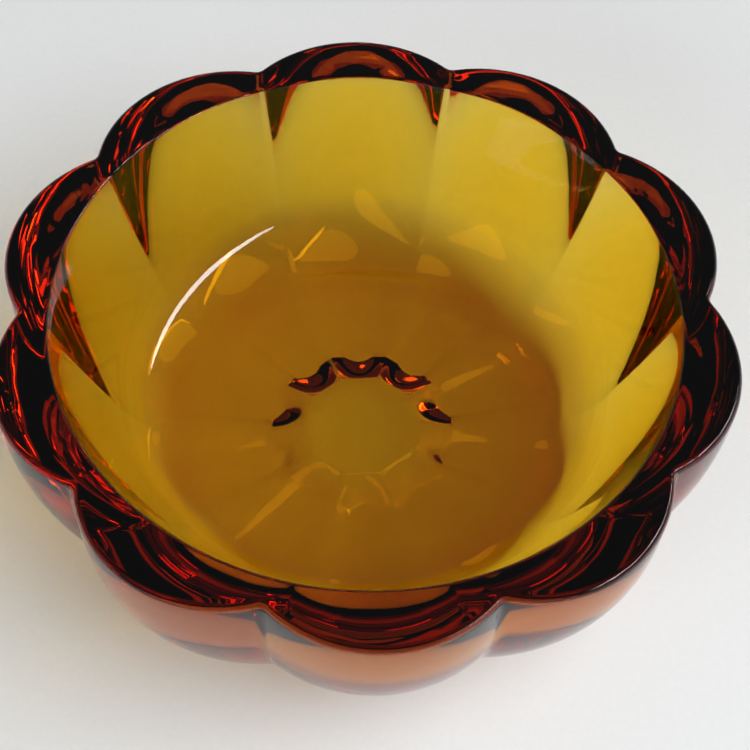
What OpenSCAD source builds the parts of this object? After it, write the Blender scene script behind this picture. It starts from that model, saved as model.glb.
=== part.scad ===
// Lobed dish of thick amber pressed glass, in one piece.
// Origin: centre of the resting plane. +Z is up, and one lobe points straight to -Y.

/* [Size] */
// Width across two opposite lobes
across = 157; // [140:1:180]
// Height from the resting plane to the top of the rim
height = 56; // [52:1:64]

/* [Lobes] */
// Number of lobes around the dish
lobes = 10; // [8:2:12]
// How far a lobe stands out past the grooves beside it at the rim
lobe_rise = 6; // [4:0.1:7]
// Radius of the hollow curve at the bottom of a groove
groove_round = 2.5; // [1.5:0.1:3]
// Depth of the grooves where they run under the base
base_groove = 1.3; // [0.8:0.1:1.8]
// Share of the way down the wall over which the grooves stay sharp
sharp_share = 0.78; // [0.5:0.02:0.86]

/* [Inside] */
// Glass thickness at the rim, at the bottom of a groove
rim_wall = 6.5; // [5:0.5:9]
// Depth of the bowl below the rim
bowl_depth = 38.5; // [34:0.5:42]
// Radius of the level part of the bowl's floor
floor_r = 39.5; // [34:0.5:42]
// Radius of the curve between floor and wall
bowl_curve = 17; // [10:0.5:20]
// Rounding of the rim's inner edge
inner_edge = 1; // [0.5:0.1:1.5]

/* [Outside] */
// Height of the nearly upright wall under the rim
upright = 5; // [4:0.5:10]
// Radius at which the outer wall has curved under to the base
foot_r = 43; // [36:1:48]
// Rounding of the rim's outer edge
outer_edge = 1.5; // [0.8:0.1:2]
// How much the base is ground away to give each lobe a level pad
pad_cut = 0.6; // [0.3:0.1:1]

/* [Hollow under the base] */
// Distance from the axis to the hollow's straight sides, at its roof
hollow_r = 12.8; // [10:0.2:16]
// Height of the hollow's roof above the resting plane
hollow_h = 3.8; // [2:0.1:5]
// Width of the slope around the hollow
hollow_slope = 8; // [6:0.5:10]

/* [Hidden] */

// Steps of the outer skin's mesh
ARC_STEPS = 6;      // from the crest of a lobe to where the groove's curve begins
GROOVE_STEPS = 2;   // from there to the bottom of the groove
EDGE_STEPS = 3;     // around the rim's outer edge
WALL_STEPS = 13;    // down the curved wall
SLOPE_STEPS = 5;    // up the slope of the hollow
CUT_MARGIN = 5;     // how far cutting solids reach past the glass

GROOVE_FADE = 1.5;  // how late on the wall the grooves lose their depth
SLOPE_EASE = 0.3;   // how rounded the hollow's slope is at its foot and top, from 0 to 1

// Plan of one lobe at the rim. It is an arc about a point on the lobe's own axis, and it meets the
// next lobe in a small hollow curve centred outside the glass, halfway between the two axes.
crest_r = across / 2;
half_lobe = 180 / lobes;
groove_c = crest_r - lobe_rise + groove_round;
lobe_arc = (crest_r ^ 2 + groove_c ^ 2 - 2 * crest_r * groove_c * cos(half_lobe) - groove_round ^ 2)
    / (2 * (groove_round + crest_r - groove_c * cos(half_lobe)));
lobe_c = crest_r - lobe_arc;

// Angle about the dish's axis at which the lobe's arc gives way to the groove's curve
groove_side = [groove_c * cos(half_lobe) - lobe_c, groove_c * sin(half_lobe)]
    / (lobe_arc + groove_round);
arc_end = atan2(lobe_arc * groove_side[1], lobe_c + lobe_arc * groove_side[0]);

// Inside of the bowl
opening_r = crest_r - lobe_rise - rim_wall;
curve_z = height - bowl_depth + bowl_curve;

function mix(a, b, t) = a + (b - a) * t;
function ease(t) = t * t * (3 - 2 * t);

// Radius of the rim's outline at angle a from a lobe's axis
function outline_r(a) = a <= arc_end
    ? lobe_c * cos(a) + sqrt(lobe_arc ^ 2 - (lobe_c * sin(a)) ^ 2)
    : groove_c * cos(half_lobe - a) - sqrt(groove_round ^ 2 - (groove_c * sin(half_lobe - a)) ^ 2);

// How deep the outline dips at that angle, from 0 on the crest to 1 in the groove
function sharp_dip(a) = (crest_r - outline_r(a)) / lobe_rise;
function soft_dip(a) = (1 - cos(180 * a / half_lobe)) / 2;

// How soft the grooves are at a share t of the way down the wall, from 0 for sharp to 1
function softness(t) = ease(max(0, (t - sharp_share) / (1 - sharp_share)));

// Angles from a crest to the groove beside it, and then all the way round
HALF_ANGLES = [
    for (i = [0 : ARC_STEPS]) arc_end * i / ARC_STEPS,
    for (i = [1 : GROOVE_STEPS]) mix(arc_end, half_lobe, i / GROOVE_STEPS)
];
LAST = len(HALF_ANGLES) - 1;
LOBE_ANGLES = [
    for (i = [LAST : -1 : 1]) -HALF_ANGLES[i],
    for (i = [0 : LAST - 1]) HALF_ANGLES[i]
];

// One ring of the outer skin is [crest radius, crest height, lean, groove depth, softness, squareness].
// Lean is the direction in which grooves sink: 0 is level and inward, 90 is straight up.
// Softness turns the groove from a sharp cleft into a gentle wave, and squareness turns the ring
// from a circle into a polygon with one straight side per lobe.
function edge_rings() = [
    for (i = [0 : EDGE_STEPS])
        let (a = 90 * (1 - i / EDGE_STEPS))
        [
            crest_r - outer_edge * (1 - cos(a)),
            height - outer_edge * (1 - sin(a)),
            0, lobe_rise, 0, 0
        ]
];
function wall_rings() = [
    for (i = [0 : WALL_STEPS])
        let (a = 90 * i / WALL_STEPS)
        [
            mix(foot_r, crest_r, cos(a)),
            mix(height - upright, -pad_cut, sin(a)),
            a, mix(lobe_rise, base_groove, sin(a) ^ GROOVE_FADE), softness(i / WALL_STEPS), 0
        ]
];
function slope_rings() = [
    for (i = [0 : SLOPE_STEPS])
        let (t = i / SLOPE_STEPS)
        [
            mix(hollow_r + hollow_slope, hollow_r, t),
            mix(-pad_cut, hollow_h, mix(t, ease(t), SLOPE_EASE)),
            90, base_groove * (1 - ease(t)), 1, 1
        ]
];

function ring_point(ring, lobe, a) =
    let (
        dip = ring[3] * mix(sharp_dip(abs(a)), soft_dip(abs(a)), ring[4]),
        r = ring[0] * mix(1, 1 / cos(a), ring[5]) - dip * cos(ring[2]),
        azimuth = -90 + 2 * half_lobe * lobe + a
    )
    [r * cos(azimuth), r * sin(azimuth), ring[1] + dip * sin(ring[2])];

// The outer skin as a closed solid: stacked rings, closed above and below by fans about the axis
module lobed_body() {
    rings = concat(edge_rings(), wall_rings(), slope_rings());
    around = lobes * len(LOBE_ANGLES);
    last_ring = (len(rings) - 1) * around;
    top_centre = len(rings) * around;
    roof_centre = top_centre + 1;
    points = concat(
        [
            for (ring = rings, lobe = [0 : lobes - 1], a = LOBE_ANGLES)
                ring_point(ring, lobe, a)
        ],
        [[0, 0, height], [0, 0, hollow_h]]
    );
    sides = [
        for (k = [0 : len(rings) - 2], i = [0 : around - 1])
            let (
                j = (i + 1) % around,
                upper = k * around,
                lower = upper + around
            )
            each [
                [upper + i, upper + j, lower + j],
                [upper + i, lower + j, lower + i]
            ]
    ];
    ends = [
        for (i = [0 : around - 1])
            let (j = (i + 1) % around)
            each [
                [top_centre, j, i],
                [roof_centre, last_ring + i, last_ring + j]
            ]
    ];
    polyhedron(points, concat(ends, sides), convexity = 6);
}

// Section through the bowl: level floor, round curve, leaning wall and a rounded lip.
// The wall runs from the rim, where it has the opening's radius, and touches the curve.
module bowl_section() {
    from_rim = [opening_r - floor_r, height - curve_z];
    lean = 90 - atan2(from_rim[1], from_rim[0]) - asin(bowl_curve / norm(from_rim));
    touch = [floor_r + bowl_curve * cos(lean), curve_z - bowl_curve * sin(lean)];
    above = height + CUT_MARGIN;
    above_r = opening_r + CUT_MARGIN * tan(lean);
    polygon([
        [0, height - bowl_depth],
        [floor_r, height - bowl_depth],
        [floor_r, curve_z],
        touch,
        [above_r, above],
        [0, above]
    ]);
    translate([floor_r, curve_z]) circle(bowl_curve, $fn = 96);

    // The lip's rounding touches the wall and the top of the rim
    edge_z = height - inner_edge;
    edge_r = opening_r - inner_edge * tan(lean) + inner_edge / cos(lean);
    difference() {
        polygon([
            [edge_r - inner_edge * cos(lean), edge_z + inner_edge * sin(lean)],
            [edge_r, edge_z],
            [edge_r, above],
            [opening_r, above]
        ]);
        translate([edge_r, edge_z]) circle(inner_edge, $fn = 48);
    }
}

module dish() {
    color("#a8620f", 0.6)
        difference() {
            lobed_body();
            rotate_extrude($fn = 180) bowl_section();
            translate([0, 0, -CUT_MARGIN / 2])
                cube([across * 2, across * 2, CUT_MARGIN], center = true);
        }
}

dish();
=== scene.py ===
"""Lobed amber glass dish on a pale floor.

The glass is one smooth closed mesh with the CAD part's own shape, and stands in for its faceted skin.
"""

import math

import bpy
import numpy as np
from mathutils import Matrix, Vector


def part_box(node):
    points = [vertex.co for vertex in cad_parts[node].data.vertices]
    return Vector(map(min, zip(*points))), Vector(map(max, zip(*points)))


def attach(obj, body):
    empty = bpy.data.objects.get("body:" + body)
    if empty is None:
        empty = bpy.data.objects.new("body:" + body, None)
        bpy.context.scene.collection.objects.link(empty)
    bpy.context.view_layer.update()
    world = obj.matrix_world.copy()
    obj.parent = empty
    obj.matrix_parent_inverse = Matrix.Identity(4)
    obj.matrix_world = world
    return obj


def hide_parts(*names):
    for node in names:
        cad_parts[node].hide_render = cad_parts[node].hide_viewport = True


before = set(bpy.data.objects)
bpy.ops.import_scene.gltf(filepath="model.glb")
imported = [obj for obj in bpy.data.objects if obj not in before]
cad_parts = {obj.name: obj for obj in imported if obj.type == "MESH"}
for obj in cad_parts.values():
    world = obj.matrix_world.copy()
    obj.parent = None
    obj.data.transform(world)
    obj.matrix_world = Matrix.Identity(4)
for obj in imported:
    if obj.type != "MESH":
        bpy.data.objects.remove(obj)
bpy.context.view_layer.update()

MM = 0.001

# ---- The dish, in metres. Width and height come from the frame, and the rest repeats the CAD part.
LOW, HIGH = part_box("dish")
CREST_R = (HIGH.y - LOW.y) / 2
HEIGHT = HIGH.z
LOBES = 10
LOBE_RISE = 6 * MM
GROOVE_ROUND = 2.5 * MM
BASE_GROOVE = 1.3 * MM
RIM_WALL = 6.5 * MM
BOWL_DEPTH = 38.5 * MM
FLOOR_R = 39.5 * MM
BOWL_CURVE = 17 * MM
INNER_EDGE = 1 * MM
UPRIGHT = 5 * MM
FOOT_R = 43 * MM
OUTER_EDGE = 1.5 * MM
PAD_CUT = 0.6 * MM
SHARP_DOWN_TO = 0.78       # share of the way down the wall over which grooves stay sharp
GROOVE_FADE = 1.5          # how late on the wall the grooves lose their depth
SLOPE_EASE = 0.3           # how rounded the hollow's slope is at its foot and top, from 0 to 1
HOLLOW_R = 12.8 * MM
HOLLOW_H = 3.8 * MM
HOLLOW_SLOPE = 8 * MM

OPENING_R = CREST_R - LOBE_RISE - RIM_WALL
HALF_LOBE = math.pi / LOBES
STRAIGHT_UP = math.pi / 2

# ---- Mesh steps
ARC_STEPS = 18
GROOVE_STEPS = 6
EDGE_STEPS = 8
WALL_STEPS = 56
BASE_STEPS = 10
SLOPE_STEPS = 14
ROOF_STEPS = 5
TOP_STEPS = 8
LIP_STEPS = 8
INNER_WALL_STEPS = 14
CURVE_STEPS = 20
FLOOR_STEPS = 10


def mix(a, b, t):
    return a + (b - a) * t


def ease(t):
    return t * t * (3 - 2 * t)


def soften(t):
    """Grooves stay sharp down most of the wall, and turn soft where it curves under."""
    return ease(max(0, (t - SHARP_DOWN_TO) / (1 - SHARP_DOWN_TO)))


class Outline:
    """The rim's outline: an arc for each lobe, and a small hollow curve in each groove."""

    def __init__(self):
        self.groove_c = CREST_R - LOBE_RISE + GROOVE_ROUND
        reach = self.groove_c * math.cos(HALF_LOBE)
        self.arc = (CREST_R**2 + self.groove_c**2 - 2 * CREST_R * reach - GROOVE_ROUND**2) / (
            2 * (GROOVE_ROUND + CREST_R - reach)
        )
        self.lobe_c = CREST_R - self.arc
        side = np.array([reach - self.lobe_c, self.groove_c * math.sin(HALF_LOBE)])
        side = side / (self.arc + GROOVE_ROUND)
        self.arc_end = math.atan2(self.arc * side[1], self.lobe_c + self.arc * side[0])

    def radius(self, a):
        a = np.abs(a)
        on_arc = self.lobe_c * np.cos(a) + np.sqrt(self.arc**2 - (self.lobe_c * np.sin(a)) ** 2)
        b = HALF_LOBE - np.minimum(np.maximum(a, self.arc_end), HALF_LOBE)
        half_chord = np.sqrt(GROOVE_ROUND**2 - (self.groove_c * np.sin(b)) ** 2)
        in_groove = self.groove_c * np.cos(b) - half_chord
        return np.where(a <= self.arc_end, on_arc, in_groove)

    def angles(self):
        """Angles across one lobe, closer together in the grooves."""
        half = [self.arc_end * i / ARC_STEPS for i in range(ARC_STEPS + 1)]
        half += [mix(self.arc_end, HALF_LOBE, i / GROOVE_STEPS) for i in range(1, GROOVE_STEPS + 1)]
        return np.array([-a for a in half[:0:-1]] + half[:-1])


def outer_rings():
    """Rings from the rim down the outer skin and in to the middle of the hollow.

    Each is (crest radius, crest height, lean, groove depth, softness, squareness). Lean is the
    direction in which grooves sink, from 0 for level to STRAIGHT_UP. Softness turns a sharp groove
    into a gentle wave, and squareness a round ring into one with a straight side per lobe.
    """
    rings = []
    for i in range(EDGE_STEPS + 1):
        a = math.pi / 2 * (1 - i / EDGE_STEPS)
        radius = CREST_R - OUTER_EDGE * (1 - math.cos(a))
        z = HEIGHT - OUTER_EDGE * (1 - math.sin(a))
        rings.append((radius, z, 0, LOBE_RISE, 0, 0))
    for i in range(WALL_STEPS + 1):
        a = math.pi / 2 * i / WALL_STEPS
        radius = mix(FOOT_R, CREST_R, math.cos(a))
        z = mix(HEIGHT - UPRIGHT, -PAD_CUT, math.sin(a))
        depth = mix(LOBE_RISE, BASE_GROOVE, math.sin(a) ** GROOVE_FADE)
        rings.append((radius, z, a, depth, soften(i / WALL_STEPS), 0))
    for i in range(1, BASE_STEPS):
        t = i / BASE_STEPS
        radius = mix(FOOT_R, HOLLOW_R + HOLLOW_SLOPE, t)
        rings.append((radius, -PAD_CUT, STRAIGHT_UP, BASE_GROOVE, 1, t))
    for i in range(SLOPE_STEPS + 1):
        t = i / SLOPE_STEPS
        radius = mix(HOLLOW_R + HOLLOW_SLOPE, HOLLOW_R, t)
        z = mix(-PAD_CUT, HOLLOW_H, mix(t, ease(t), SLOPE_EASE))
        rings.append((radius, z, STRAIGHT_UP, BASE_GROOVE * (1 - ease(t)), 1, 1))
    for i in range(1, ROOF_STEPS):
        rings.append((HOLLOW_R * (1 - i / ROOF_STEPS), HOLLOW_H, STRAIGHT_UP, 0, 1, 1))
    return rings


def bowl_profile():
    """Radius and height down the inside of the bowl, from the lip to the floor."""
    curve_z = HEIGHT - BOWL_DEPTH + BOWL_CURVE
    across, down = OPENING_R - FLOOR_R, HEIGHT - curve_z
    lean = math.pi / 2 - math.atan2(down, across) - math.asin(BOWL_CURVE / math.hypot(across, down))
    edge_z = HEIGHT - INNER_EDGE
    edge_r = OPENING_R - INNER_EDGE * math.tan(lean) + INNER_EDGE / math.cos(lean)
    profile = []
    for i in range(LIP_STEPS + 1):
        a = mix(math.pi / 2, math.pi - lean, i / LIP_STEPS)
        profile.append((edge_r + INNER_EDGE * math.cos(a), edge_z + INNER_EDGE * math.sin(a)))
    top = profile[-1]
    touch = (FLOOR_R + BOWL_CURVE * math.cos(lean), curve_z - BOWL_CURVE * math.sin(lean))
    for i in range(1, INNER_WALL_STEPS):
        t = i / INNER_WALL_STEPS
        profile.append((mix(top[0], touch[0], t), mix(top[1], touch[1], t)))
    for i in range(CURVE_STEPS + 1):
        a = mix(-lean, -math.pi / 2, i / CURVE_STEPS)
        profile.append((FLOOR_R + BOWL_CURVE * math.cos(a), curve_z + BOWL_CURVE * math.sin(a)))
    for i in range(1, FLOOR_STEPS):
        profile.append((FLOOR_R * (1 - i / FLOOR_STEPS), HEIGHT - BOWL_DEPTH))
    return profile


def dish_mesh():
    """The glass as one closed mesh of stacked rings, from the roof of the hollow to the bowl's floor."""
    outline = Outline()
    local = np.tile(outline.angles(), LOBES)
    per_lobe = len(local) // LOBES
    azimuth = -math.pi / 2 + 2 * HALF_LOBE * (np.arange(len(local)) // per_lobe) + local
    sharp = (CREST_R - outline.radius(local)) / LOBE_RISE
    soft = (1 - np.cos(math.pi * local / HALF_LOBE)) / 2

    rings = []
    for radius, z, lean, depth, softness, squareness in reversed(outer_rings()):
        dip = depth * mix(sharp, soft, softness)
        r = radius * mix(1, 1 / np.cos(local), squareness) - dip * math.cos(lean)
        rings.append((r, np.maximum(0, z + dip * math.sin(lean))))

    # Across the flat top of the rim and down the inside
    profile = bowl_profile()
    rim_r = rings[-1][0]
    for i in range(1, TOP_STEPS):
        rings.append((mix(rim_r, profile[0][0], i / TOP_STEPS), np.full_like(rim_r, HEIGHT)))
    for r, z in profile:
        rings.append((np.full_like(rim_r, r), np.full_like(rim_r, z)))

    # The smooth outline would pass the faceted part's box by a few hundredths of a millimetre
    points = []
    for r, z in rings:
        x = np.clip(r * np.cos(azimuth), LOW.x, HIGH.x)
        points.append(np.column_stack([x, r * np.sin(azimuth), z]))
    points.append(np.array([[0, 0, HOLLOW_H], [0, 0, HEIGHT - BOWL_DEPTH]]))

    around = len(local)
    roof = len(rings) * around
    floor = roof + 1
    i = np.arange(around)
    j = (i + 1) % around
    faces = []
    for k in range(len(rings) - 1):
        a = k * around
        b = a + around
        faces += np.column_stack([a + i, a + j, b + j, b + i]).tolist()
    last = roof - around
    faces += np.column_stack([np.full(around, roof), j, i]).tolist()
    faces += np.column_stack([np.full(around, floor), last + i, last + j]).tolist()

    mesh = bpy.data.meshes.new("dish_glass")
    mesh.from_pydata(np.vstack(points).tolist(), [], faces)
    mesh.polygons.foreach_set("use_smooth", [True] * len(mesh.polygons))
    mesh.update()
    return mesh


# ---- Materials
GLASS_IOR = 1.52
AMBER = (0.965, 0.845, 0.0, 1.0)    # absorption colour: red passes best, blue is stopped
AMBER_DENSITY = 190.0               # per metre of glass
WAVE_SCALE = 70.0                   # waves left by the press, about 14 mm long
WAVE_HEIGHT = 0.06 * MM
FLOOR_GREYS = ((0.745, 0.76, 0.77, 1.0), (0.795, 0.81, 0.82, 1.0))
FLOOR_ROUGHNESS = 0.9
FLOOR_GRAIN = 700.0                 # specks about 1.5 mm across, like uncoated paper
FLOOR_GRAIN_HEIGHT = 0.03 * MM
WHITE = (1, 1, 1, 1)


def link(tree, a, out, b, into):
    tree.links.new(a.outputs[out], b.inputs[into])


def new_material(name):
    """A node material, with its tree and its Principled shader."""
    material = bpy.data.materials.new(name)
    material.use_nodes = True
    tree = material.node_tree
    return material, tree, tree.nodes["Principled BSDF"]


def add_noise(tree, shader, scale, detail, height):
    """Noise in the object's own space, which also raises the surface by height. Returns its node."""
    noise = tree.nodes.new("ShaderNodeTexNoise")
    noise.inputs["Scale"].default_value = scale
    noise.inputs["Detail"].default_value = detail
    coords = tree.nodes.new("ShaderNodeTexCoord")
    link(tree, coords, "Object", noise, "Vector")
    bump = tree.nodes.new("ShaderNodeBump")
    bump.inputs["Strength"].default_value = 1.0
    bump.inputs["Distance"].default_value = height
    link(tree, noise, "Fac", bump, "Height")
    link(tree, bump, "Normal", shader, "Normal")
    return noise


def glass_material():
    material, tree, shader = new_material("amber_glass")
    shader.inputs["Base Color"].default_value = WHITE
    shader.inputs["Roughness"].default_value = 0.0
    shader.inputs["IOR"].default_value = GLASS_IOR
    shader.inputs["Transmission Weight"].default_value = 1.0
    add_noise(tree, shader, WAVE_SCALE, 2.0, WAVE_HEIGHT)
    absorption = tree.nodes.new("ShaderNodeVolumeAbsorption")
    absorption.inputs["Color"].default_value = AMBER
    absorption.inputs["Density"].default_value = AMBER_DENSITY
    link(tree, absorption, "Volume", tree.nodes["Material Output"], "Volume")
    return material


def floor_material():
    material, tree, shader = new_material("pale_floor")
    shader.inputs["Roughness"].default_value = FLOOR_ROUGHNESS
    grain = add_noise(tree, shader, FLOOR_GRAIN, 3.0, FLOOR_GRAIN_HEIGHT)
    greys = tree.nodes.new("ShaderNodeValToRGB")
    for stop, grey in zip(greys.color_ramp.elements, FLOOR_GREYS):
        stop.color = grey
    link(tree, grain, "Fac", greys, "Fac")
    link(tree, greys, "Color", shader, "Base Color")
    return material


# ---- Pieces
def add_dish():
    mesh = dish_mesh()
    dish = bpy.data.objects.new("dish_glass", mesh)
    bpy.context.scene.collection.objects.link(dish)
    mesh.materials.append(glass_material())
    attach(dish, "root")
    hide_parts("dish")


FLOOR_HALF = 4.0
FLOOR_GAP = 0.2 * MM                # keeps the floor's face and the pads' faces apart


def add_floor():
    h = FLOOR_HALF
    mesh = bpy.data.meshes.new("floor")
    mesh.from_pydata([(-h, -h, 0), (h, -h, 0), (h, h, 0), (-h, h, 0)], [], [(0, 1, 2, 3)])
    mesh.materials.append(floor_material())
    floor = bpy.data.objects.new("floor", mesh)
    floor.location.z = -FLOOR_GAP
    bpy.context.scene.collection.objects.link(floor)


# ---- Light. Two fills are left out of direct reflections, or they would show as discs on the rim.
# Each row is name, azimuth and elevation in degrees, distance and size in metres, power in watts,
# and whether it shows in reflections.
SKY_LOW = 0.55                      # brightness at the horizon
SKY_HIGH = 0.10                     # brightness from SKY_TOP up
SKY_TOP = 0.4                       # as the height of a direction of length 1
LIGHTS = (
    ("window", -12, 37, 1.6, (2.2, 0.17), 13, True),
    ("front", -125, 24, 2.0, (2.6, 0.8), 19, False),
    ("overhead", -35, 58, 2.0, (2.0, 2.0), 29, False),
)


def toward(azimuth, elevation):
    """Unit vector from the dish towards a compass direction and a height above the horizon."""
    a = math.radians(azimuth)
    e = math.radians(elevation)
    return Vector((math.cos(e) * math.cos(a), math.cos(e) * math.sin(a), math.sin(e)))


def add_light(name, azimuth, elevation, distance, size, power, in_reflections):
    """An oval area light that faces the dish."""
    data = bpy.data.lights.new(name, "AREA")
    data.shape = "ELLIPSE"
    data.size, data.size_y = size
    data.energy = power
    light = bpy.data.objects.new(name, data)
    direction = toward(azimuth, elevation)
    light.location = direction * distance
    light.rotation_euler = direction.to_track_quat("Z", "Y").to_euler()
    light.visible_glossy = in_reflections
    bpy.context.scene.collection.objects.link(light)


def add_sky():
    """A pale studio wall all round, which fades to a dim ceiling."""
    world = bpy.data.worlds.new("studio")
    bpy.context.scene.world = world
    world.use_nodes = True
    tree = world.node_tree
    coords = tree.nodes.new("ShaderNodeTexCoord")
    parts = tree.nodes.new("ShaderNodeSeparateXYZ")
    link(tree, coords, "Generated", parts, "Vector")
    fade = tree.nodes.new("ShaderNodeMapRange")
    fade.interpolation_type = "SMOOTHSTEP"
    fade.inputs["From Max"].default_value = SKY_TOP
    fade.inputs["To Min"].default_value = SKY_LOW
    fade.inputs["To Max"].default_value = SKY_HIGH
    link(tree, parts, "Z", fade, "Value")
    sky = tree.nodes["Background"]
    sky.inputs["Color"].default_value = WHITE
    link(tree, fade, "Result", sky, "Strength")


def add_lights():
    for row in LIGHTS:
        add_light(*row)


# ---- Camera. It looks at a point in the plane of the rim, and its sizes are in openings of the bowl.
VIEW_AZIMUTH = -95.06
VIEW_ELEVATION = 55.4
VIEW_ROLL = 3.0
VIEW_DISTANCE = 4.711 * OPENING_R
FOCAL = 74.1                        # mm, on a sensor 36 mm wide
SENSOR = 36
NEAR_CLIP = 0.01
AIM = Vector((0.036, -0.271, 0)) * OPENING_R


def add_camera():
    data = bpy.data.cameras.new("camera")
    data.sensor_width = SENSOR
    data.lens = FOCAL
    data.clip_start = NEAR_CLIP
    camera = bpy.data.objects.new("camera", data)
    bpy.context.scene.collection.objects.link(camera)
    turn = Matrix.Rotation(math.radians(VIEW_AZIMUTH + 90), 3, "Z")
    aim = turn @ AIM + Vector((0, 0, HEIGHT))
    back = toward(VIEW_AZIMUTH, VIEW_ELEVATION)
    right = Vector((0, 0, 1)).cross(back).normalized()
    up = back.cross(right)
    roll = math.radians(VIEW_ROLL)
    tilted_right = right * math.cos(roll) + up * math.sin(roll)
    tilted_up = up * math.cos(roll) - right * math.sin(roll)
    rotation = Matrix((tilted_right, tilted_up, back)).transposed()
    camera.matrix_world = Matrix.Translation(aim + back * VIEW_DISTANCE) @ rotation.to_4x4()
    bpy.context.scene.camera = camera


# ---- The scene. Few reflecting bounces keep the rim as dark as thick amber glass looks.
REFLECTING_BOUNCES = 3

add_dish()
add_floor()
add_sky()
add_lights()
add_camera()
bpy.context.scene.view_settings.view_transform = "Standard"
bpy.context.scene.cycles.glossy_bounces = REFLECTING_BOUNCES
